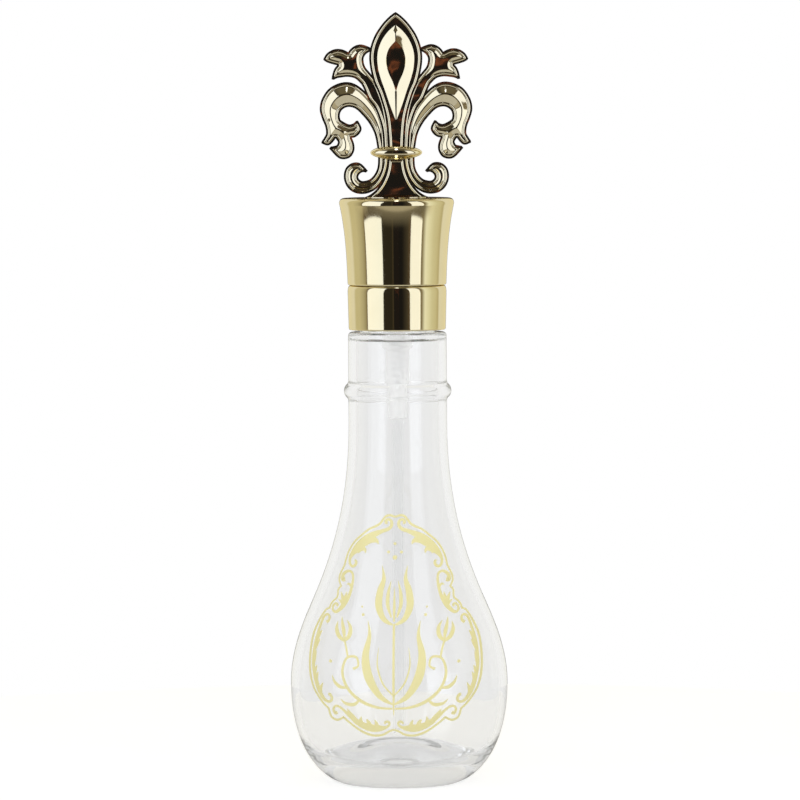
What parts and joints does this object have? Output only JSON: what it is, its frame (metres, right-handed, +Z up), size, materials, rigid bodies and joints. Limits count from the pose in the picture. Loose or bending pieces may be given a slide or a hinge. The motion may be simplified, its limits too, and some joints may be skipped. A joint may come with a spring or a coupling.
{
  "type": "cologne bottle",
  "caption": "Clear glass cologne bottle with swelling round body, tall beaded neck, screw-on mist pump, gold collar and gold overcap with a lily finial.",
  "frame": {"origin": "centre of the standing ring under the bottle", "axes": "+Z up along the bottle's axis, -Y towards the front, where the print and the spray nozzle are"},
  "size_m": [0.0746, 0.0746, 0.2648],
  "materials": {
    "clear_glass": "polished clear flint glass",
    "soft_seal": "soft pale sealing plastic",
    "translucent_plastic": "natural translucent polypropylene",
    "white_plastic": "moulded white polypropylene",
    "steel": "bright stainless steel",
    "gold_metal": "bright gold-anodised aluminium",
    "gold_plated_plastic": "gold-metallised plastic",
    "cast_gold": "polished gold-plated casting"
  },
  "bodies": {
    "bottle": {"glass_bottle": "clear_glass"},
    "pump": {"neck_gasket": "soft_seal", "pump_housing": "translucent_plastic", "pump_retainer": "white_plastic", "stem_seal": "soft_seal", "dip_tube": "translucent_plastic", "return_spring": "steel"},
    "inlet_valve": {"inlet_ball": "steel"},
    "plunger": {"stem": "white_plastic", "piston": "soft_seal"},
    "button": {"actuator_button": "gold_plated_plastic", "nozzle_insert": "white_plastic"},
    "closure": {"closure_ring": "white_plastic", "collar_sleeve": "gold_metal"},
    "overcap": {"cap_shell": "gold_metal", "cap_liner": "white_plastic", "lily_finial": "cast_gold"}
  },
  "joints": [
    {"name": "pump_lift", "type": "slide", "parent": "bottle", "child": "pump", "axis": [0, 0, 1], "range_m": [0, 0.00635]},
    {"name": "closure_turn", "type": "hinge", "parent": "pump", "child": "closure", "pos_m": [0, 0, 0.16], "axis": [0, 0, 1], "range_deg": [0, 540]},
    {"name": "cap_lift", "type": "slide", "parent": "closure", "child": "overcap", "axis": [0, 0, 1], "range_m": [0, 0.04]},
    {"name": "spray_press", "type": "slide", "parent": "pump", "child": "plunger", "axis": [0, 0, -1], "range_m": [0, 0.0045], "stiffness_N_per_m": 1500, "springref_m": -0.003, "deforming": ["return_spring"]},
    {"name": "button_turn", "type": "hinge", "parent": "plunger", "child": "button", "pos_m": [0, 0, 0.18], "axis": [0, 0, 1], "continuous": true},
    {"name": "ball_lift", "type": "slide", "parent": "pump", "child": "inlet_valve", "axis": [0, 0, 1], "range_m": [0, 0.0008]}
  ],
  "couplings": [
    {"joint": "closure_turn", "follows": "pump_lift", "rad_per_m": 1484.2}
  ]
}
